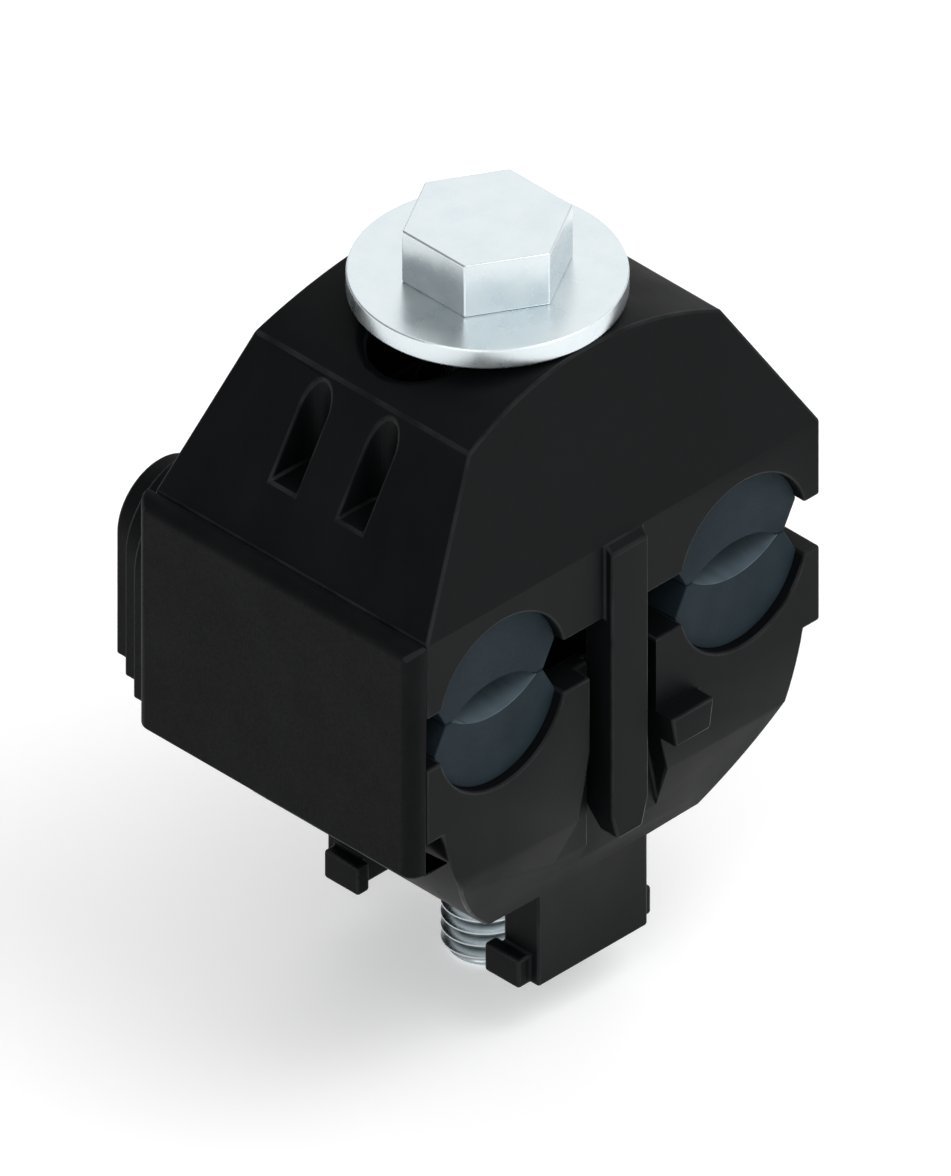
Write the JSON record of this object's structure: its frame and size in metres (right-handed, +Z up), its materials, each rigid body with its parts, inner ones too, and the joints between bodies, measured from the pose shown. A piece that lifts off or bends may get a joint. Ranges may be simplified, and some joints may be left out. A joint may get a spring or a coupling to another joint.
{
  "type": "insulation piercing connector",
  "caption": "Black two-shell clamp that joins a tap cable to a main cable: toothed blades in rubber-lined grooves, closed by one hex-head screw, with an end cap on the tap side.",
  "frame": {"origin": "on the main conductor's axis, half way along the jaws and on the split plane between the two shells", "axes": "+Z up along the clamping screw towards its head, +Y along both conductors from the front to the capped rear, +X away from the end cap"},
  "size_m": [0.0488, 0.0436, 0.0753],
  "materials": {
    "shell": "black glass-filled polyamide, moulded, satin",
    "seal": "dark slate elastomer, matt",
    "cap": "black elastomer, matt",
    "zinc_steel": "bright zinc plate",
    "contact": "tinned copper alloy"
  },
  "bodies": {
    "upper_jaw": {"upper_shell": "shell", "flat_washer": "zinc_steel", "main_upper_seal": "seal", "tap_upper_seal": "seal", "upper_front_blade": "contact", "upper_rear_blade": "contact"},
    "lower_jaw": {"lower_shell": "shell", "captive_nut": "zinc_steel", "main_lower_seal": "seal", "tap_lower_seal": "seal", "lower_front_blade": "contact", "lower_rear_blade": "contact", "tap_end_cap": "cap"},
    "screw": {"hex_bolt": "zinc_steel"}
  },
  "joints": [
    {"name": "clamp_slide", "type": "slide", "parent": "upper_jaw", "child": "lower_jaw", "axis": [0, 0, 1], "range_m": [-0.0135, 0.0049], "deforming": ["main_upper_seal", "tap_upper_seal", "main_lower_seal", "tap_lower_seal"]},
    {"name": "screw_turn", "type": "hinge", "parent": "upper_jaw", "child": "screw", "pos_m": [-0.0144, 0, 0], "axis": [0, 0, 1], "range_deg": [-1411.5, 3888.5]}
  ],
  "couplings": [
    {"joint": "screw_turn", "follows": "clamp_slide", "rad_per_m": -5026.5}
  ]
}
